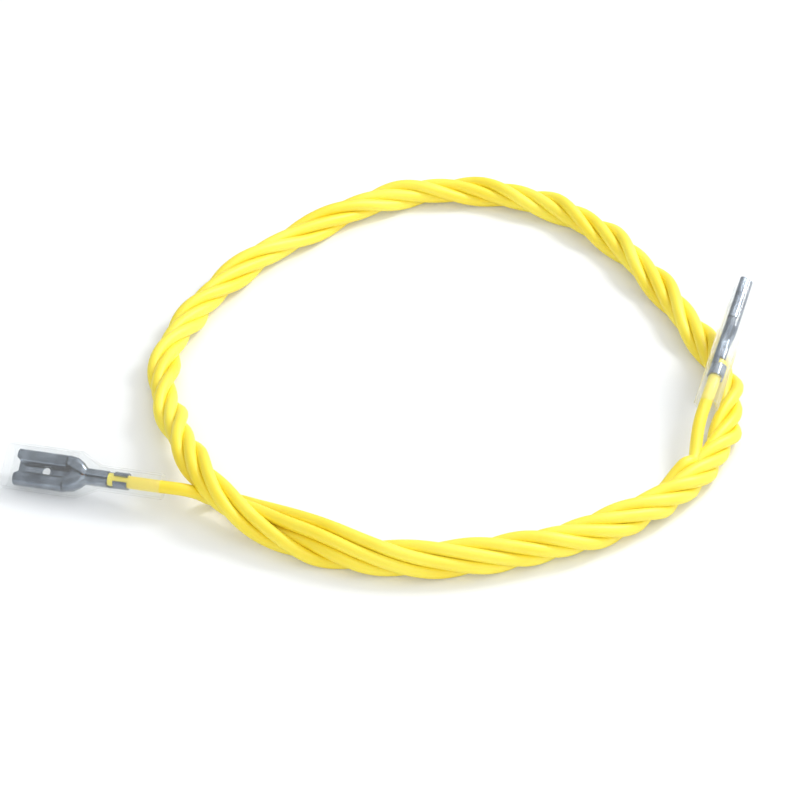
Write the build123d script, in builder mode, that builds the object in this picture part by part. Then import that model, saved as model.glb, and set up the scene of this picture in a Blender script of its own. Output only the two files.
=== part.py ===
from build123d import *
import math
import os

"""Jumper lead: one insulated wire, twisted up into a ring-shaped hank for storage, with a crimped
female tab receptacle in a clear slide-on sleeve at each end.

All sizes are in millimetres. The hank lies on the plane z = 0. X runs from the left connector to
the right one, Y away from the front of the hank, Z up. The origin is on that plane, under the
middle of the two connectors.

A connector is drawn once, in its own frame: X along the wire's axis from the mouth towards the
wire, Z out of the rolled side, origin on that axis at the mouth.
"""

# ---------------------------------------------------------------- driving dimensions
# wire
WIRE_D = 2.1              # over the insulation
CONDUCTOR_D = 1.15        # bunched strands of 0.75 mm2
BRUSH_L = 0.8             # strands that stand out in front of the wire crimp
STRIP_GAP = 0.15          # from the wire crimp to the end of the insulation

# male tab that the receptacle takes
TAB_W = 4.8
TAB_T = 0.8
TAB_SIDE_PLAY = 0.05      # on each side of the tab
TAB_GRIP = 0.1            # how far the rolls close in on the tab

# receptacle, stamped from strip and rolled
STOCK = 0.35              # strip thickness
ROLL_L = 8.4
ROLL_R = 1.02             # radius of a roll, at the middle of the strip
ROLL_WRAP = 185           # degrees that a roll turns from its side
CORNER_R = 0.42           # bend from the base to the side, at the middle of the strip
LEAD_IN_L = 1.5           # V between the rolls at the mouth
LEAD_IN_W = 2.8
DETENT_D = 1.4            # hole that the tab's dimple snaps into
DETENT_X = 4.8
SLIT_W = 0.3              # cut that frees the rolls from the neck
SLIT_WEB = 3.6            # width of base left at the slit
NECK_L = 3.4              # scoop that runs from the rolls down to the wire crimp
NECK_PROFILE = [(0, 1), (0.45, 0.92), (0.78, 0.7)]  # share of its length, share of rolls' width
NECK_ROUND = 0.42         # radius of its long edges, as a share of its height
NECK_OPENING = 2.6        # its open top, at the wide end
WIRE_CRIMP_L = 3.8
WIRE_CRIMP_W = 2.6
WIRE_CRIMP_H = 2.1
WING_DIP = 0.95           # how far the two wings turn down into the strands
WING_GAP = 0.04           # seam between the two wings
CRIMP_FIT = 0.02          # left between the strands and the wings
WINDOW_L = 1.2            # between the two crimps
WINDOW_H = 1.0
WINDOW_BEND_R = 0.5
GRIP_CRIMP_L = 2.3        # crimp round the insulation
GRIP_OPEN = 44            # degrees left open between its wings

# clear sleeve
SLEEVE_WALL = 0.35
SLEEVE_SIDE_GAP = 0.55    # from the sides of the rolls to the sleeve
SLEEVE_BASE_GAP = 0.35    # from the base of the receptacle to the sleeve
SLEEVE_OVERHANG = 1.6     # past the mouth of the receptacle
SLEEVE_WIDE_L = 12.4      # wide part, from the open end
SLEEVE_TAPER_L = 3.6
SLEEVE_TAIL = 5.8         # past the insulation crimp

# where the connectors lie: middle of the mouth, heading of the axis towards the wire, its climb,
# and the turn of the connector about it
LEFT_MOUTH = (-60.8, -13.7, 3.2)
LEFT_HEADING = -15.4
LEFT_CLIMB_ANGLE = 3.2
LEFT_TURN_ANGLE = 33
RIGHT_MOUTH = (60.3, 19.6, 14.1)
RIGHT_HEADING = -109
RIGHT_CLIMB_ANGLE = -15
RIGHT_TURN_ANGLE = -104

# corners of the hank's middle line in plan, anticlockwise from the right, each with the distance
# from that line to the hank's flats: four turns of wire round the back, five in the front
HANK_SIDES = 12
HANK_ROUTE = [
    ((54.5, 20.9), 2.4),
    ((45.9, 39.2), 2.4),
    ((34.1, 58.7), 2.4),
    ((9.3, 66.8), 2.4),
    ((-10.5, 56.4), 2.4),
    ((-26.9, 40.7), 2.4),
    ((-37.4, 23.2), 2.4),
    ((-39.4, 4.7), 2.4),
    ((-31.1, -15.9), 2.6),
    ((-15.1, -33.0), 3.1),
    ((9.5, -37.4), 3.1),
    ((29.2, -31.5), 3.0),
    ((47.9, -20.2), 2.9),
    ((59.3, 1.6), 2.6),
]

# each lead: how far from the mouth it keeps to the connector's axis, then a corner and its end
# inside the hank
LEFT_LEAD_STRAIGHT = 27
LEFT_LEAD_ROUTE = [(-28.0, -23.6, 4.0), (-21.8, -28.0, 3.3)]
RIGHT_LEAD_STRAIGHT = 26.6
RIGHT_LEAD_ROUTE = [(49.6, -13.2, 4.9), (44.5, -20.0, 3.4)]

# ---------------------------------------------------------------- worked-out sizes
BASE_Z = -(STOCK + WIRE_D / 2)                 # underside of the base
MID_Z = BASE_Z + STOCK / 2                     # middle of the strip in the base
SIDE_Y = TAB_W / 2 + TAB_SIDE_PLAY + CORNER_R  # middle of the strip in the sides
ROLL_WIDTH = 2 * SIDE_Y + STOCK
ROLL_TIP_DROP = ROLL_R * math.sin(math.radians(ROLL_WRAP - 180))
ROLL_Z = BASE_Z + STOCK + TAB_T - TAB_GRIP + ROLL_TIP_DROP
ROLL_TOP = ROLL_Z + ROLL_R + STOCK / 2

WING_TIP_Z = BASE_Z + WIRE_CRIMP_H - STOCK / 2 - WING_DIP

NECK_X = ROLL_L + SLIT_W
WIRE_CRIMP_X = NECK_X + NECK_L
WINDOW_X = WIRE_CRIMP_X + WIRE_CRIMP_L
GRIP_CRIMP_X = WINDOW_X + WINDOW_L
RECEPTACLE_L = GRIP_CRIMP_X + GRIP_CRIMP_L
STRIP_X = WINDOW_X + STRIP_GAP                 # end of the insulation

BORE_R = WIRE_D / 2 + STOCK + SLEEVE_BASE_GAP  # of the sleeve's tail, and half its bore's height
BORE_W = ROLL_WIDTH + 2 * SLEEVE_SIDE_GAP
SLEEVE_TAIL_W = 2.04 * BORE_R                  # a little out of round
SLEEVE_END_X = RECEPTACLE_L + SLEEVE_TAIL

os.makedirs("parts", exist_ok=True)


# ---------------------------------------------------------------- sections of the strip
def bent_up(half_width, height, corner_r):
    """Middle line of a channel: flat base, a bend, and a straight side."""
    Line((0, MID_Z), (half_width - corner_r, MID_Z))
    CenterArc((half_width - corner_r, MID_Z + corner_r), corner_r, -90, 90)
    Line((half_width, MID_Z + corner_r), (half_width, MID_Z + height))


def rolled_section(x):
    """Receptacle: base, sides and the two rolls that press the tab on the base."""
    with BuildSketch(Plane.YZ.offset(x)) as section:
        with BuildLine():
            bent_up(SIDE_Y, ROLL_Z - MID_Z, CORNER_R)
            CenterArc((SIDE_Y - ROLL_R, ROLL_Z), ROLL_R, 0, ROLL_WRAP)
            mirror(about=Plane.YZ)
        trace(line_width=STOCK)
    return section.sketch


def wire_crimp_half(inset, tip_gap):
    """Half the outline of the closed wings, inset from the middle of the strip, down to the tip."""
    half = (WIRE_CRIMP_W - STOCK) / 2
    inner = (STOCK + WING_GAP) / 2
    lobe_r = (half - inner) / 2
    lobe_z = WING_TIP_Z + WING_DIP - lobe_r
    Line((0, MID_Z + inset), (half - lobe_r, MID_Z + inset))
    CenterArc((half - lobe_r, MID_Z + lobe_r), lobe_r - inset, -90, 90)
    Line((half - inset, MID_Z + lobe_r), (half - inset, lobe_z))
    CenterArc((half - lobe_r, lobe_z), lobe_r - inset, 0, 180)
    return Line((inner + inset, lobe_z), (inner + inset, WING_TIP_Z - tip_gap))


def wire_crimp_section(x):
    """Two wings closed over the strands, meeting in the middle and turned down into them."""
    with BuildSketch(Plane.YZ.offset(x)) as section:
        with BuildLine():
            wire_crimp_half(0, 0)
            mirror(about=Plane.YZ)
        trace(line_width=STOCK)
    return section.sketch


def strands_section(x):
    """What the strands fill inside the closed wings."""
    with BuildSketch(Plane.YZ.offset(x)) as section:
        with BuildLine():
            wing = wire_crimp_half(STOCK / 2 + CRIMP_FIT, CRIMP_FIT)
            Line(wing @ 1, (0, (wing @ 1).Y))
            mirror(about=Plane.YZ)
        make_face()
    return section.sketch


def window_section(x):
    """Low channel that joins the two crimps."""
    with BuildSketch(Plane.YZ.offset(x)) as section:
        with BuildLine():
            bent_up((WIRE_CRIMP_W - STOCK) / 2, WINDOW_H - STOCK / 2, WINDOW_BEND_R)
            mirror(about=Plane.YZ)
        trace(line_width=STOCK)
    return section.sketch


def grip_crimp_section(x):
    """Wings curled round the insulation, with a slot left between their ends."""
    with BuildSketch(Plane.YZ.offset(x)) as section:
        with BuildLine():
            CenterArc((0, 0), (WIRE_D + STOCK) / 2, 90 + GRIP_OPEN / 2, 360 - GRIP_OPEN)
        trace(line_width=STOCK)
    return section.sketch


# ---------------------------------------------------------------- receptacle
def scoop(inset):
    """Form of the neck, from the width of the rolls down to that of the wire crimp."""
    stations = [(along, share * ROLL_WIDTH, ROLL_TOP - BASE_Z) for along, share in NECK_PROFILE]
    stations += [(1, WIRE_CRIMP_W, WIRE_CRIMP_H)]
    with BuildPart() as form:
        for along, width, height in stations:
            with BuildSketch(Plane.YZ.offset(NECK_X + along * NECK_L)):
                with Locations((0, BASE_Z + height / 2)):
                    RectangleRounded(width - 2 * inset, height - 2 * inset,
                                     NECK_ROUND * height - inset)
        loft(ruled=True)
    return form.part


with BuildPart() as neck:
    add(scoop(0))
    add(scoop(STOCK), mode=Mode.SUBTRACT)
    with BuildSketch():
        with BuildLine():
            Polyline((NECK_X, -NECK_OPENING / 2), (WIRE_CRIMP_X, -WING_GAP / 2),
                     (WIRE_CRIMP_X, WING_GAP / 2), (NECK_X, NECK_OPENING / 2), close=True)
        make_face()
    extrude(amount=ROLL_WIDTH, mode=Mode.SUBTRACT)

with BuildPart() as receptacle:
    extrude(rolled_section(0), amount=ROLL_L + SLIT_W, dir=(1, 0, 0))
    # V that leads the tab in between the rolls
    with BuildSketch(Plane.XY.offset(BASE_Z + STOCK + TAB_T / 2)):
        with BuildLine():
            Polyline((0, -LEAD_IN_W / 2), (LEAD_IN_L, 0), (0, LEAD_IN_W / 2), close=True)
        make_face()
    extrude(amount=ROLL_WIDTH, mode=Mode.SUBTRACT)
    # hole for the tab's dimple
    with Locations((DETENT_X, 0, MID_Z)):
        Cylinder(DETENT_D / 2, STOCK, mode=Mode.SUBTRACT)
    # the slit leaves a web in the middle of the base
    with BuildSketch(Plane.YZ.offset(ROLL_L)):
        Rectangle(2 * ROLL_WIDTH, 2 * ROLL_WIDTH)
        with Locations((0, MID_Z)):
            Rectangle(SLIT_WEB, STOCK, mode=Mode.SUBTRACT)
    extrude(amount=SLIT_W, mode=Mode.SUBTRACT)
    add(neck.part)
    extrude(wire_crimp_section(WIRE_CRIMP_X), amount=WIRE_CRIMP_L, dir=(1, 0, 0))
    extrude(window_section(WINDOW_X), amount=WINDOW_L, dir=(1, 0, 0))
    extrude(grip_crimp_section(GRIP_CRIMP_X), amount=GRIP_CRIMP_L, dir=(1, 0, 0))

# ---------------------------------------------------------------- stripped end of the wire
with BuildPart() as strands:
    # pressed to the form of the crimp's inside, round again in front of it and behind it
    extrude(strands_section(WIRE_CRIMP_X), amount=WIRE_CRIMP_L, dir=(1, 0, 0))
    for x, length in ((WIRE_CRIMP_X, -BRUSH_L), (WINDOW_X, STRIP_GAP)):
        with BuildSketch(Plane.YZ.offset(x)):
            with Locations((0, BASE_Z + WIRE_CRIMP_H / 2)):
                Circle(CONDUCTOR_D / 2)
        extrude(amount=length)

# ---------------------------------------------------------------- clear sleeve
def sleeve_form(offset_out):
    """Wide flat mouth, taper and round tail, grown outwards from the bore."""
    height = 2 * (BORE_R + offset_out)
    width = BORE_W + 2 * offset_out
    tail_width = SLEEVE_TAIL_W + 2 * offset_out
    taper_x = SLEEVE_WIDE_L - SLEEVE_OVERHANG
    tail_x = taper_x + SLEEVE_TAPER_L
    with BuildPart() as form:
        with BuildSketch(Plane.YZ.offset(-SLEEVE_OVERHANG)):
            SlotOverall(width, height)
        extrude(amount=SLEEVE_WIDE_L)
        with BuildSketch(Plane.YZ.offset(taper_x)):
            SlotOverall(width, height)
        with BuildSketch(Plane.YZ.offset(tail_x)):
            SlotOverall(tail_width, height)
        loft()
        with BuildSketch(Plane.YZ.offset(tail_x)):
            SlotOverall(tail_width, height)
        extrude(amount=SLEEVE_END_X - tail_x)
    return form.part


with BuildPart() as sleeve:
    add(sleeve_form(SLEEVE_WALL))
    add(sleeve_form(0), mode=Mode.SUBTRACT)


# ---------------------------------------------------------------- the two ends in place
def end_plane(mouth, heading, climb, turn):
    """The connector's frame, with its mouth at the given point."""
    axis = Vector(1, 0, 0).rotate(Axis.Y, -climb).rotate(Axis.Z, heading)
    up = Vector(0, 0, 1).rotate(Axis.Y, -climb).rotate(Axis.Z, heading)
    return Plane(origin=mouth, x_dir=axis, z_dir=up.rotate(Axis((0, 0, 0), axis), turn))


LEFT_END = end_plane(LEFT_MOUTH, LEFT_HEADING, LEFT_CLIMB_ANGLE, LEFT_TURN_ANGLE)
RIGHT_END = end_plane(RIGHT_MOUTH, RIGHT_HEADING, RIGHT_CLIMB_ANGLE, RIGHT_TURN_ANGLE)


def place(shape, plane, name):
    """Put a copy of a connector's piece at one end of the wire and write it."""
    with BuildPart() as piece:
        with Locations(plane.location):
            add(shape)
    piece.part.label = name
    export_step(piece.part, f"parts/{name}.step")
    return piece.part


for end, plane in (("left", LEFT_END), ("right", RIGHT_END)):
    place(receptacle.part, plane, f"{end}_terminal")
    place(strands.part, plane, f"{end}_conductor")
    place(sleeve.part, plane, f"{end}_sleeve")


# ---------------------------------------------------------------- wire
def corner_radii(points):
    """As large as the shorter of its two runs allows, for each corner."""
    radii = []
    for before, corner, after in zip(points, points[1:], points[2:]):
        shorter = min((corner - before).length, (after - corner).length)
        half_turn = math.radians((corner - before).get_angle(after - corner)) / 2
        radii.append(0.45 * shorter / math.tan(half_turn))
    return radii


def lead(plane, straight, route, name):
    """The wire from the end of its insulation, along the connector's axis, and into the hank."""
    points = [plane.from_local_coords(Vector(x, 0, 0)) for x in (STRIP_X, straight)]
    points += [Vector(*point) for point in route]
    radii = corner_radii(points)
    with BuildPart() as tube:
        with BuildLine() as line:
            FilletPolyline(*points, radius=radii)
        path = line.wire()
        with BuildSketch(Plane(origin=path @ 0, z_dir=path % 0)):
            Circle(WIRE_D / 2)
        sweep(path=path)
    length = path.length
    print(name, "length", round(length, 1), "radii", [round(r, 1) for r in radii],
          "volume / section x length", round(tube.part.volume / (math.pi / 4 * WIRE_D**2 * length), 4))
    tube.part.label = name
    export_step(tube.part, f"parts/{name}.step")
    return tube.part


lead(LEFT_END, LEFT_LEAD_STRAIGHT, LEFT_LEAD_ROUTE, "left_lead")
lead(RIGHT_END, RIGHT_LEAD_STRAIGHT, RIGHT_LEAD_ROUTE, "right_lead")

# the hank lies flat: an arc at each corner, with that corner's section standing on z = 0, and a
# taper along each straight bit
def hank_section(edge, end, half_width):
    """Section at one end of an arc on z = 0, with a flat side down on it."""
    foot, along = edge @ end, edge % end
    across = along.cross(Vector(0, 0, 1))
    with BuildSketch(Plane(origin=foot, x_dir=across, z_dir=along)) as section:
        with Locations((0, -half_width)):
            RegularPolygon(half_width, HANK_SIDES, major_radius=False, rotation=180 / HANK_SIDES)
    return section.sketch


hank_points = [Vector(*corner) for corner, half_width in HANK_ROUTE]
half_widths = [half_width for corner, half_width in HANK_ROUTE]
bends = corner_radii(hank_points[-1:] + hank_points + hank_points[:1])
with BuildPart() as hank:
    with BuildLine(mode=Mode.PRIVATE) as loop:
        FilletPolyline(*hank_points, radius=bends, close=True)
    print("hank length", round(loop.wire().length, 1), "bends", [round(r, 1) for r in bends])
    bend_edges = loop.edges().filter_by(GeomType.CIRCLE)
    arcs = [bend_edges.sort_by_distance(point)[0] for point in hank_points]
    for arc, half_width, next_arc, next_half_width in zip(
            arcs, half_widths, arcs[1:] + arcs[:1], half_widths[1:] + half_widths[:1]):
        sweep(hank_section(arc, 0, half_width), path=arc)
        loft([hank_section(arc, 1, half_width), hank_section(next_arc, 0, next_half_width)])
hank.part.label = "hank"
export_step(hank.part, "parts/hank.step")
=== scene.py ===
import math

import bmesh
import bpy
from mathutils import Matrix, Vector


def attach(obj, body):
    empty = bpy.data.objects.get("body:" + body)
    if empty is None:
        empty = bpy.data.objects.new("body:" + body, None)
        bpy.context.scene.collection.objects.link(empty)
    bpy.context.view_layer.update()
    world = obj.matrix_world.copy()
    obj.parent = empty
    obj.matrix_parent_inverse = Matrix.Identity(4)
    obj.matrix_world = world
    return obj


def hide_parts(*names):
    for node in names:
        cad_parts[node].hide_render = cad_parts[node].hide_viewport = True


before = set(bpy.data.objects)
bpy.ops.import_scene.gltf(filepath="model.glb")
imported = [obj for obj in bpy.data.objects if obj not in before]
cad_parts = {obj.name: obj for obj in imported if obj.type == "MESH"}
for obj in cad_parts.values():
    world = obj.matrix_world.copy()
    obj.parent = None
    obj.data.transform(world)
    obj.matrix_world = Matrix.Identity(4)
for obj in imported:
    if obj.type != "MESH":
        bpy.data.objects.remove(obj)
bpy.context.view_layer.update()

"""Jumper lead: one yellow wire twisted up into a ring-shaped hank, with a crimped female tab
receptacle in a clear sleeve at each end. Lengths in the tables are millimetres.
"""

bl_info = {
    "name": "Jumper lead",
    "version": (1, 0, 0),
    "blender": (4, 5, 0),
    "location": "View3D > Sidebar > Jumper lead",
    "description": "Dresses a twisted jumper wire with its two sleeved receptacles",
    "category": "Object",
}

MM = 0.001

# ---------------------------------------------------------------- the wire's route
# corners of the hank's middle line, anticlockwise from the right, with its height; their places
# in plan are the rounded result of a separate least-squares fit
HANK_CORNERS = [
    (54.5, 20.9, 2.4), (45.9, 39.2, 2.4), (34.1, 58.7, 2.4), (9.3, 66.8, 2.4), (-10.5, 56.4, 2.4),
    (-26.9, 40.7, 2.4), (-37.4, 23.2, 2.4), (-39.4, 4.7, 2.4), (-31.1, -15.9, 2.6),
    (-15.1, -33.0, 3.1), (9.5, -37.4, 3.1), (29.2, -31.5, 3.0), (47.9, -20.2, 2.9),
    (59.3, 1.6, 2.6),
]
# the leads, from the end of the insulation to where they go into the hank
LEFT_LEAD = [(-45.351, -17.955, 4.096), (-38.3, -19.9, 4.4), (-31.5, -21.6, 4.9),
             (-28.8, -19.6, 1.0), (-26.9, -19.3, 1.0)]
RIGHT_LEAD = [(50.0, -13.0, 3.4), (50.4, -9.8, 4.8), (51.0, -6.6, 6.3), (52.2, -3.2, 7.6),
              (55.253, 4.942, 9.946)]

# the strands are set out across the hank as it shows from the front, looking down at 40 degrees
SHOW_ANGLE = math.radians(40)
SHOW = Vector((0, -math.cos(SHOW_ANGLE), math.sin(SHOW_ANGLE)))

# back of the hank: four strands in a diamond that turns, in millimetres along the hank from its
# first corner and quarter turns
QUARTER_TURNS = [
    (-45, -10), (-33, -8), (-20.5, -6), (-10, -4), (2, -2), (17, 0), (34, 2), (49, 4), (62.5, 6),
    (78.5, 8), (93, 10), (113.5, 12), (132, 14), (145, 16), (161, 18), (174.5, 20), (188, 22),
    (200, 24),
]
WIDE, NEAR = 1.8, 1.12       # from the diamond's middle to its long and its short corners
BACK_CORNERS = [2, 3, 0, 1]  # which of the diamond's corners each lap takes
# how far the bundle lies to the inside of the middle line, from printed measurements as far as
# 152 mm, and how far it is lifted to the show side, where the left lead dives under it
SWAY = [
    (-45, -0.6), (-30, -0.6), (-18, -0.6), (-5, 0), (10, 0.4), (20, 0.4), (30, -0.2), (45, 0.1),
    (60, 0), (72, 0.2), (90, -0.2), (108, 0.3), (122, -0.1), (137, 0.3), (152, -0.5), (165, 0.5),
    (174, 1.1), (180, 0.7), (187, -0.5), (200, -0.6),
]
LIFT = [(-45, 0.3), (0, 0.4), (150, 0.4), (165, 0.8), (175, 2.8), (184, 4.6), (200, 3.4)]

# front of the hank: five strands, one for each lap of the wire; at each station, the strand's
# place to the inside of the middle line and to the show side
FRONT_STATIONS = [190, 195, 200, 205, 210, 215, 220, 225, 230, 235, 240, 245, 250, 255, 260, 265,
                  270, 275]
FRONT_LAPS = [
    [(0.8, -1.9), (2.0, -1.4), (3.2, -0.5), (3.5, 0.1), (3.0, 0.5), (1.9, 1.0), (0.6, 1.3),
     (-0.1, 1.2), (-0.7, 1.0), (-1.9, 0.5), (-1.7, -1.1), (-0.4, -1.6), (1.5, -1.1), (0.9, 0.6),
     (-0.2, 1.2), (-1.6, 0.9), (-1.8, -1.0), (0.0, -1.6)],
    [(-0.7, 4.4), (-1.9, 2.7), (-3.2, 0.9), (-2.4, -1.1), (-0.7, -1.4), (0.8, -1.1), (2.1, -0.3),
     (2.0, 0.7), (1.3, 1.1), (0.0, 1.3), (-1.5, 0.9), (-2.3, -0.5), (0.0, -1.6), (2.0, -0.8),
     (1.8, 0.6), (0.5, 1.3), (-1.7, 0.8), (-1.8, -0.7)],
    [(1.2, 3.7), (-0.1, 2.9), (-1.3, 1.0), (-1.9, 0.9), (-2.7, 0.2), (-2.2, -1.2), (-0.6, -1.5),
     (1.2, -1.3), (2.5, -0.6), (2.3, 0.4), (0.7, 1.2), (-1.0, 1.2), (-2.5, -0.1), (-1.2, -1.4),
     (0.6, -1.3), (1.3, -0.6), (0.2, 1.2), (-1.4, 1.2)],
    [(-1.0, 2.0), (1.3, 1.7), (1.6, 0.6), (1.9, 0.9), (1.1, 1.1), (0.1, 1.3), (-1.2, 1.0),
     (-2.0, 0.7), (-2.3, -0.1), (-1.2, -1.4), (0.6, -1.2), (1.6, -0.9), (0.7, 1.0), (-1.1, 1.1),
     (-2.2, 0.4), (-1.8, -0.9), (1.4, 0.4), (0.5, 1.4)],
    [(-2.2, 4.0), (-1.5, 1.4), (0.2, -0.9), (0.0, 0.1), (-0.9, 0.8), (-1.8, 0.6), (-2.3, -0.5),
     (-1.5, -1.3), (-0.3, -1.4), (1.3, -1.2), (2.7, 0.1), (1.3, 1.1), (-1.3, 1.2), (-2.8, 0.0),
     (-1.8, -1.3), (-0.6, -1.4), (0.3, -1.2), (0.8, -0.6)],
]
LAST_LAP = len(FRONT_LAPS) - 1
ENTRY, EXIT = 188, 275             # where the left lead comes in and the right lead goes out
BACK_END, FRONT_START = 184, 190   # from the back's places to the front's
FRONT_END, BACK_START = 275, 281   # from the front's places to the back's
ROUND = 140                        # points of the wire's spline in one lap
CURL = 1.03                        # makes up for what the spline takes off a coil's radius
APART = 1.02                       # wire diameters that strands are pushed apart to
SETTLE_ROUNDS = 24
LAST_PUSHES = 2                    # rounds at the end that push and don't even out
OWN_SHARE, NEXT_SHARE = 0.7, 0.15  # of a point and of each neighbour, in evening out
GUIDE_STEPS, WIRE_STEPS = 12, 5    # points of a curve for each of its control points
BEVEL_STEPS = 5

# ---------------------------------------------------------------- camera and stage, in metres
LENS, SENSOR = 132.75, 36          # millimetres
CAMERA_TARGET = Vector((0.0018, 0.0069, 0))
CAMERA_DISTANCE = 0.5
FLOOR_REACH = 3
FLOOR_WHITE = 0.1                  # share of the floor that shows as plain white
LAMP_PLACE, LAMP_SIZE = (0.23, 0.13, 0.27), 0.12
FILL_PLACE, FILL_SIZE = (-0.1, -0.45, 0.35), 0.5
BRIGHT_SIDE = (0.7, 0.2, 0.68)     # the surroundings are brightest this way
SKY = [(0.5, "A8ABAE"), (0.74, "ACAFB2"), (0.82, "F4F5F6"), (0.93, "FFFFFF")]


def colour(code):
    """Linear RGBA from an sRGB hex value."""
    parts = [int(code[i:i + 2], 16) / 255 for i in (0, 2, 4)]
    return [c / 12.92 if c <= 0.04045 else ((c + 0.055) / 1.055) ** 2.4 for c in parts] + [1]


def eased(table, x):
    """Smooth curve through the (place, value) pairs of a table."""
    places = [place for place, value in table]
    i = max(0, min(len(table) - 2, sum(place <= x for place in places) - 1))
    (x0, y0), (x1, y1) = table[i], table[i + 1]
    slope = (y1 - y0) / (x1 - x0)
    before = (y0 - table[i - 1][1]) / (x0 - table[i - 1][0]) if i else slope
    after = (table[i + 2][1] - y1) / (table[i + 2][0] - x1) if i + 2 < len(table) else slope
    m0, m1 = (before + slope) / 2, (slope + after) / 2
    t, h = (x - x0) / (x1 - x0), x1 - x0
    return ((2 * t**3 - 3 * t**2 + 1) * y0 + (t**3 - 2 * t**2 + t) * h * m0
            + (3 * t**2 - 2 * t**3) * y1 + (t**3 - t**2) * h * m1)


def nurbs(name, points, cyclic=False):
    """Curve object of one NURBS spline, order 3, with the points as its control points."""
    data = bpy.data.curves.new(name, "CURVE")
    data.dimensions = "3D"
    spline = data.splines.new("NURBS")
    spline.points.add(len(points) - 1)
    for knot, point in zip(spline.points, points):
        knot.co = (*point, 1)
    spline.use_cyclic_u = cyclic
    spline.order_u = 3
    spline.use_endpoint_u = not cyclic
    spline.resolution_u = GUIDE_STEPS if cyclic else WIRE_STEPS
    item = bpy.data.objects.new(name, data)
    bpy.context.collection.objects.link(item)
    return item


class Hank:
    """Middle line of the hank, read by the distance along it in millimetres."""

    def __init__(self):
        guide = nurbs("hank_line", HANK_CORNERS, cyclic=True)
        mesh = bpy.data.meshes.new_from_object(guide)
        points = [vertex.co.copy() for vertex in mesh.vertices]
        bpy.data.objects.remove(guide)
        first = (Vector(HANK_CORNERS[-1]) + Vector(HANK_CORNERS[0])) / 2
        start = min(range(len(points)), key=lambda i: (points[i] - first).length)
        points = points[start:] + points[:start]
        if (points[1] - points[0]).dot(Vector(HANK_CORNERS[0]) - first) < 0:
            raise RuntimeError("the hank's middle line runs the wrong way")
        self.points = points + points[:1]
        self.at = [0]
        for a, b in zip(self.points, self.points[1:]):
            self.at.append(self.at[-1] + (b - a).length)
        self.length = self.at[-1]

    def place(self, along):
        """Point on the line, direction to the inside of the hank as it shows, and show side."""
        along %= self.length
        i = max(j for j, start in enumerate(self.at[:-1]) if start <= along)
        a, b = self.points[i], self.points[i + 1]
        point = a.lerp(b, (along - self.at[i]) / (self.at[i + 1] - self.at[i]))
        before = self.points[i - 1 if i else -2]
        after = self.points[(i + 2) % (len(self.points) - 1)]
        heading = (after - before).normalized()
        inside = SHOW.cross(heading).normalized()
        return point, inside, heading.cross(inside)


def back_offset(along, lap):
    """Place of a lap's strand in the turning diamond at the back."""
    corner = BACK_CORNERS[lap]
    turn = math.radians(90) * (corner - eased(QUARTER_TURNS, along))
    radius = (NEAR if corner % 2 else WIDE) * CURL
    return (radius * math.sin(turn) + eased(SWAY, along),
            radius * math.cos(turn) + eased(LIFT, along))


def front_offset(along, lap):
    """Place of a lap's strand in the front."""
    places = FRONT_LAPS[lap]
    return tuple(eased([(s, place[axis]) for s, place in zip(FRONT_STATIONS, places)], along)
                 for axis in (0, 1))


def between(a, b, t):
    """Place a share t of the way from a to b."""
    return tuple(p + (q - p) * t for p, q in zip(a, b))


def strand_offset(along, lap, length):
    """Place of a lap's strand across the bundle; a lap starts where the left lead comes in."""
    back = along - length
    if lap and along < FRONT_START:
        return between(back_offset(BACK_END, lap - 1), front_offset(FRONT_START, lap),
                       (along - BACK_END) / (FRONT_START - BACK_END))
    if along <= FRONT_END or lap == LAST_LAP:
        return front_offset(along, lap)
    if along < BACK_START:
        return between(front_offset(FRONT_END, lap), back_offset(BACK_START - length, lap),
                       (along - FRONT_END) / (BACK_START - FRONT_END))
    if back <= BACK_END:
        return back_offset(back, lap)
    return between(back_offset(BACK_END, lap), front_offset(FRONT_START, lap + 1),
                   (back - BACK_END) / (FRONT_START - BACK_END))


def settle(points, apart):
    """Pushes the laps' points at each place round the hank apart, lifts them off the floor and
    evens each strand along its length, over and over. It compares only points at the same place,
    so strands can still overlap.
    """
    for turn in range(SETTLE_ROUNDS):
        for first in range(ROUND):
            members = range(first, len(points), ROUND)
            for a in members:
                for b in members[(a - first) // ROUND + 1:]:
                    gap = points[b] - points[a]
                    short = apart - gap.length
                    if short > 0:
                        push = gap.normalized() * short / 2
                        points[a] -= push
                        points[b] += push
        for point in points:
            point.z = max(point.z, apart / 2)
        if turn < SETTLE_ROUNDS - LAST_PUSHES:
            points = ([points[0]]
                      + [points[i] * OWN_SHARE + (points[i - 1] + points[i + 1]) * NEXT_SHARE
                         for i in range(1, len(points) - 1)]
                      + [points[-1]])
    return points


def wire_points(wire_d):
    """Control points of the whole wire: left lead, hank, right lead. The leads aren't settled, and
    the right one cuts into a strand where it leaves the hank.
    """
    hank = Hank()
    step = hank.length / ROUND
    first, last = round(ENTRY / step), round(EXIT / step)
    turns = []
    for n in range(first, last + LAST_LAP * ROUND + 1):
        lap = (n - first) // ROUND
        along = n * step - lap * hank.length
        point, inside, show = hank.place(along)
        across, level = strand_offset(along, lap, hank.length)
        turns.append(point + inside * across + show * level)
    turns = settle(turns, wire_d * APART)
    return [Vector(p) for p in LEFT_LEAD] + turns + [Vector(p) for p in RIGHT_LEAD]


def add(material, kind, links=(), **inputs):
    """Adds a node, sets its values and links (socket, node, output) into it; a socket or an output
    is given by its name or its number.
    """
    tree = material.node_tree
    node = tree.nodes.new("ShaderNode" + kind)
    for name, value in inputs.items():
        if hasattr(node, name):
            setattr(node, name, value)
        else:
            node.inputs[name.replace("_", " ")].default_value = value
    for socket, source, output in links:
        tree.links.new(source.outputs[output], node.inputs[socket])
    return node


def new_material(name):
    """Empty node material."""
    material = bpy.data.materials.new(name)
    material.use_nodes = True
    material.node_tree.nodes.clear()
    return material


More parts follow.
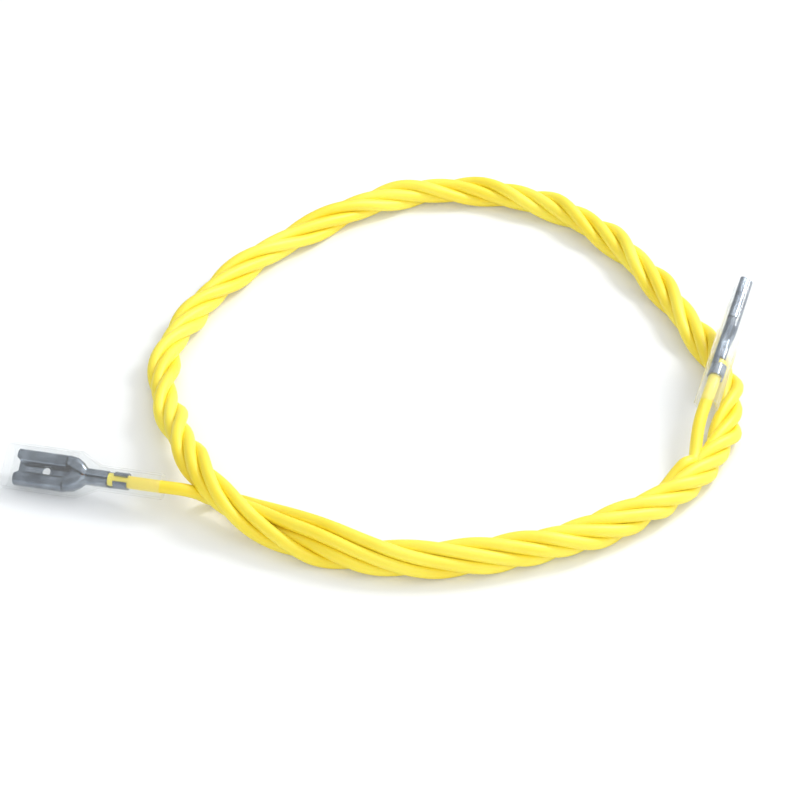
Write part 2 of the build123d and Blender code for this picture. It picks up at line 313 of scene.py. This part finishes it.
def finish_material(material, shader):
    """Links a shader to the material's output."""
    add(material, "OutputMaterial", [("Surface", shader, 0)])
    return material


def ramp(material, source, output, stops):
    """Colour ramp over a value, from (place, hex colour) stops."""
    node = add(material, "ValToRGB", [("Fac", source, output)])
    elements = node.color_ramp.elements
    while len(elements) < len(stops):
        elements.new(0.5)
    for element, (place, code) in zip(elements, stops):
        element.position = place
        element.color = colour(code)
    return node


def wire_insulation(code, code_dark):
    """Soft PVC wall of the wire: its yellow drifts a little, and the skin is faintly uneven."""
    material = new_material("yellow_pvc")
    where = add(material, "TexCoord")
    # slow drift of the dye along the wire, 12.5 mm
    drift = add(material, "TexNoise", [("Vector", where, "Object")], Scale=80, Detail=2)
    tint = ramp(material, drift, "Fac", [(0.35, code_dark), (0.62, code)])
    # skin left by the extrusion, drawn coarser than it is, 0.7 mm
    skin = add(material, "TexNoise", [("Vector", where, "Object")], Scale=1400, Detail=3)
    bump = add(material, "Bump", [("Height", skin, "Fac")], Strength=0.12, Distance=0.0001)
    gloss = add(material, "MapRange", [("Value", drift, "Fac")], To_Min=0.42, To_Max=0.56)
    # shinier than plain PVC, for pale highlights; light goes 0.8 mm into the soft wall
    shader = add(material, "BsdfPrincipled", [("Base Color", tint, "Color"), ("Normal", bump, 0),
                                              ("Roughness", gloss, 0)],
                 Specular_IOR_Level=0.9, Subsurface_Weight=0.3, Subsurface_Scale=0.0008)
    shader.inputs["Subsurface Radius"].default_value = (1, 0.8, 0.15)
    return finish_material(material, shader)


def tinned_brass(code, code_worn):
    """Tin plating on the stamped strip: grey with a cold sheen, a little dull where it was
    drawn and rolled.
    """
    material = new_material("tinned_brass")
    where = add(material, "TexCoord")
    # clouding of the tin, 3 mm
    cloud = add(material, "TexNoise", [("Vector", where, "Object")], Scale=330, Detail=4)
    tint = ramp(material, cloud, "Fac", [(0.3, code_worn), (0.65, code)])
    # rolling marks of the strip, drawn coarser than real ones, 0.25 mm
    marks = add(material, "TexNoise", [("Vector", where, "Object")], Scale=4000, Detail=2)
    bump = add(material, "Bump", [("Height", marks, "Fac")], Strength=0.1, Distance=0.00005)
    gloss = add(material, "MapRange", [("Value", cloud, "Fac")], To_Min=0.07, To_Max=0.16)
    shader = add(material, "BsdfPrincipled", [("Base Color", tint, "Color"), ("Normal", bump, 0),
                                              ("Roughness", gloss, 0)], Metallic=1)
    return finish_material(material, shader)


def bare_copper(code, code_dark):
    """Cut copper strands: warm, bright and dull strands side by side."""
    material = new_material("bare_copper")
    where = add(material, "TexCoord")
    # strands side by side, drawn coarser than real ones, 0.4 mm
    strands = add(material, "TexNoise", [("Vector", where, "Object")], Scale=2500, Detail=2)
    tint = ramp(material, strands, "Fac", [(0.35, code_dark), (0.6, code)])
    bump = add(material, "Bump", [("Height", strands, "Fac")], Strength=0.3, Distance=0.0001)
    shader = add(material, "BsdfPrincipled", [("Base Color", tint, "Color"), ("Normal", bump, 0)],
                 Metallic=1, Roughness=0.35)
    return finish_material(material, shader)


def clear_pvc(code):
    """Clear flexible PVC of the sleeves: a faint milky tint and a slightly wavy surface."""
    material = new_material("clear_pvc")
    where = add(material, "TexCoord")
    # waviness of the thin wall, 4 mm
    wave = add(material, "TexNoise", [("Vector", where, "Object")], Scale=250, Detail=2)
    bump = add(material, "Bump", [("Height", wave, "Fac")], Strength=0.15, Distance=0.0003)
    gloss = add(material, "MapRange", [("Value", wave, "Fac")], To_Min=0.06, To_Max=0.14)
    # the index is well below PVC's own, since a higher one drew dark dashes along these thin
    # walls; the coat gives the gloss
    shader = add(material, "BsdfPrincipled", [("Normal", bump, 0), ("Roughness", gloss, 0)],
                 Base_Color=colour(code), Transmission_Weight=0.9, IOR=1.04,
                 Coat_Weight=1, Coat_Roughness=0.1, Alpha=0.55)
    return finish_material(material, shader)


def camera_light(material):
    """1 for rays from the camera, off metal and through clear plastic, 0 for the others."""
    path = add(material, "LightPath")
    seen = add(material, "Math", [(0, path, "Is Camera Ray"), (1, path, "Is Glossy Ray")],
               operation="MAXIMUM")
    return add(material, "Math", [(0, seen, 0), (1, path, "Is Transmission Ray")],
               operation="MAXIMUM")


def pale_floor(code, share):
    """Plain pale floor, part of it shown as plain white so that only soft shadows stay."""
    material = new_material("pale_floor")
    matt = add(material, "BsdfDiffuse", Color=colour(code))
    white = add(material, "Emission", Strength=1)
    amount = add(material, "Math", [(0, camera_light(material), 0)], operation="MULTIPLY")
    amount.inputs[1].default_value = share
    mixed = add(material, "MixShader", [("Fac", amount, 0), (1, matt, 0), (2, white, 0)])
    return finish_material(material, mixed)


def hang_lamp(context, name, shape, size, power, place):
    """Area lamp at a place, turned to the origin."""
    lamp = bpy.data.lights.new(name, "AREA")
    lamp.energy = power
    lamp.shape = shape
    lamp.size = size
    holder = bpy.data.objects.new(name, lamp)
    context.collection.objects.link(holder)
    holder.location = place
    holder.rotation_euler = (-holder.location).to_track_quat("-Z", "Y").to_euler()
    return holder


def dress(node, material):
    """Gives a CAD node its material."""
    item = bpy.data.objects[node]
    if not item.material_slots:
        item.data.materials.append(material)
    for slot in item.material_slots:
        slot.material = material


class WireSettings(bpy.types.PropertyGroup):
    """Size and colour of the wire."""

    diameter: bpy.props.FloatProperty(
        name="Diameter", description="Diameter over the insulation", default=0.0021,
        min=0.001, max=0.004, subtype="DISTANCE", unit="LENGTH")
    length: bpy.props.FloatProperty(
        name="Length", description="Length of the whole wire", default=1.41,
        min=0.5, max=3, subtype="DISTANCE", unit="LENGTH")
    yellow: bpy.props.StringProperty(
        name="Yellow", description="Insulation, as sRGB hex", default="FEEA4A")
    yellow_deep: bpy.props.StringProperty(
        name="Deep yellow", description="Insulation where the dye is denser", default="F9DF2C")


class TerminalSettings(bpy.types.PropertyGroup):
    """Colours of the receptacles and their sleeves."""

    tin: bpy.props.StringProperty(
        name="Tin", description="Tin plating, as sRGB hex", default="9CA5B0")
    tin_worn: bpy.props.StringProperty(
        name="Worn tin", description="Tin plating where it is dull", default="465060")
    copper: bpy.props.StringProperty(
        name="Copper", description="Cut strands, as sRGB hex", default="D08A5E")
    copper_dark: bpy.props.StringProperty(
        name="Dull copper", description="Tarnished strands", default="8A4E30")
    sleeve: bpy.props.StringProperty(
        name="Sleeve", description="Clear plastic of the sleeves", default="FBFDFD")


class StageSettings(bpy.types.PropertyGroup):
    """Floor and lamps."""

    floor: bpy.props.StringProperty(
        name="Floor", description="Floor colour, as sRGB hex", default="F2F4F6")
    lamp_power: bpy.props.FloatProperty(
        name="Lamp power", description="Power of the main lamp", default=0.6,
        min=0, max=50, subtype="POWER", unit="POWER")
    fill_power: bpy.props.FloatProperty(
        name="Fill power", description="Power of the front lamp", default=0.95,
        min=0, max=50, subtype="POWER", unit="POWER")
    world_strength: bpy.props.FloatProperty(
        name="Surroundings", description="Strength of the light from all round", default=1.25,
        min=0, max=3)


class OBJECT_OT_jumper_camera(bpy.types.Operator):
    """Camera in front of the hank, looking down at it"""

    bl_idname = "jumper.camera"
    bl_label = "Camera"

    def execute(self, context):
        data = bpy.data.cameras.new("front_camera")
        data.lens = LENS
        data.sensor_width = SENSOR
        camera = bpy.data.objects.new("front_camera", data)
        context.collection.objects.link(camera)
        camera.location = CAMERA_TARGET + SHOW * CAMERA_DISTANCE
        camera.rotation_euler = (math.radians(90) - SHOW_ANGLE, 0, 0)
        context.scene.camera = camera
        return {"FINISHED"}


class OBJECT_OT_jumper_wire(bpy.types.Operator):
    """The wire: left lead, twisted hank and right lead in one run"""

    bl_idname = "jumper.wire"
    bl_label = "Wire"

    def execute(self, context):
        wire = context.scene.jumper_wire
        points = [point * MM for point in wire_points(wire.diameter / MM)]
        item = nurbs("yellow_wire", points)
        item.data.bevel_depth = wire.diameter / 2
        item.data.bevel_resolution = BEVEL_STEPS
        item.data.use_fill_caps = True
        item.data.materials.append(wire_insulation(wire.yellow, wire.yellow_deep))
        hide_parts("hank", "left_lead", "right_lead")
        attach(item, "jumper")
        return {"FINISHED"}


class OBJECT_OT_jumper_terminals(bpy.types.Operator):
    """The receptacles, the strands in their crimps and the sleeves over them"""

    bl_idname = "jumper.terminals"
    bl_label = "Terminals"

    def execute(self, context):
        ends = context.scene.jumper_terminals
        tin = tinned_brass(ends.tin, ends.tin_worn)
        copper = bare_copper(ends.copper, ends.copper_dark)
        clear = clear_pvc(ends.sleeve)
        for side in ("left", "right"):
            dress(side + "_terminal", tin)
            dress(side + "_conductor", copper)
            dress(side + "_sleeve", clear)
        return {"FINISHED"}


class OBJECT_OT_jumper_stage(bpy.types.Operator):
    """Pale floor, soft lamps and surroundings"""

    bl_idname = "jumper.stage"
    bl_label = "Stage"

    def execute(self, context):
        stage = context.scene.jumper_stage
        mesh = bpy.data.meshes.new("floor")
        shape = bmesh.new()
        bmesh.ops.create_grid(shape, x_segments=1, y_segments=1, size=FLOOR_REACH)
        shape.to_mesh(mesh)
        shape.free()
        floor = bpy.data.objects.new("floor", mesh)
        context.collection.objects.link(floor)
        mesh.materials.append(pale_floor(stage.floor, FLOOR_WHITE))
        hang_lamp(context, "soft_lamp", "DISK", LAMP_SIZE, stage.lamp_power, LAMP_PLACE)
        # broad front lamp that fills the shaded sides and isn't mirrored in the metal
        fill = hang_lamp(context, "front_fill", "SQUARE", FILL_SIZE, stage.fill_power, FILL_PLACE)
        fill.visible_glossy = False
        world = bpy.data.worlds.new("surroundings")
        world.use_nodes = True
        world.node_tree.nodes.clear()
        where = add(world, "TexCoord")
        # soft light from the right, above and a little behind; the left is the darker side
        side = add(world, "VectorMath", [("Vector", where, "Generated")], operation="DOT_PRODUCT")
        side.inputs[1].default_value = BRIGHT_SIDE
        share = add(world, "MapRange", [("Value", side, "Value")], From_Min=-1, From_Max=1)
        sky = ramp(world, share, 0, SKY)
        glow = add(world, "Background", [("Color", sky, "Color")], Strength=stage.world_strength)
        add(world, "OutputWorld", [("Surface", glow, 0)])
        context.scene.world = world
        context.scene.view_settings.view_transform = "Standard"
        return {"FINISHED"}


class VIEW3D_PT_jumper(bpy.types.Panel):
    """Settings and steps of the jumper lead"""

    bl_label = "Jumper lead"
    bl_space_type = "VIEW_3D"
    bl_region_type = "UI"
    bl_category = "Jumper lead"

    def draw(self, context):
        for settings in (context.scene.jumper_wire, context.scene.jumper_terminals,
                         context.scene.jumper_stage):
            for name in settings.bl_rna.properties.keys():
                if name not in ("name", "rna_type"):
                    self.layout.prop(settings, name)
        for operator in (OBJECT_OT_jumper_camera, OBJECT_OT_jumper_wire,
                         OBJECT_OT_jumper_terminals, OBJECT_OT_jumper_stage):
            self.layout.operator(operator.bl_idname)


CLASSES = (
    WireSettings, TerminalSettings, StageSettings, OBJECT_OT_jumper_camera, OBJECT_OT_jumper_wire,
    OBJECT_OT_jumper_terminals, OBJECT_OT_jumper_stage, VIEW3D_PT_jumper,
)


def register():
    for cls in CLASSES:
        bpy.utils.register_class(cls)
    bpy.types.Scene.jumper_wire = bpy.props.PointerProperty(type=WireSettings)
    bpy.types.Scene.jumper_terminals = bpy.props.PointerProperty(type=TerminalSettings)
    bpy.types.Scene.jumper_stage = bpy.props.PointerProperty(type=StageSettings)


def unregister():
    for name in ("jumper_wire", "jumper_terminals", "jumper_stage"):
        delattr(bpy.types.Scene, name)
    for cls in reversed(CLASSES):
        bpy.utils.unregister_class(cls)


def main():
    register()
    bpy.ops.jumper.camera()
    bpy.ops.jumper.wire()
    bpy.ops.jumper.terminals()
    bpy.ops.jumper.stage()


if __name__ == "__main__":
    main()
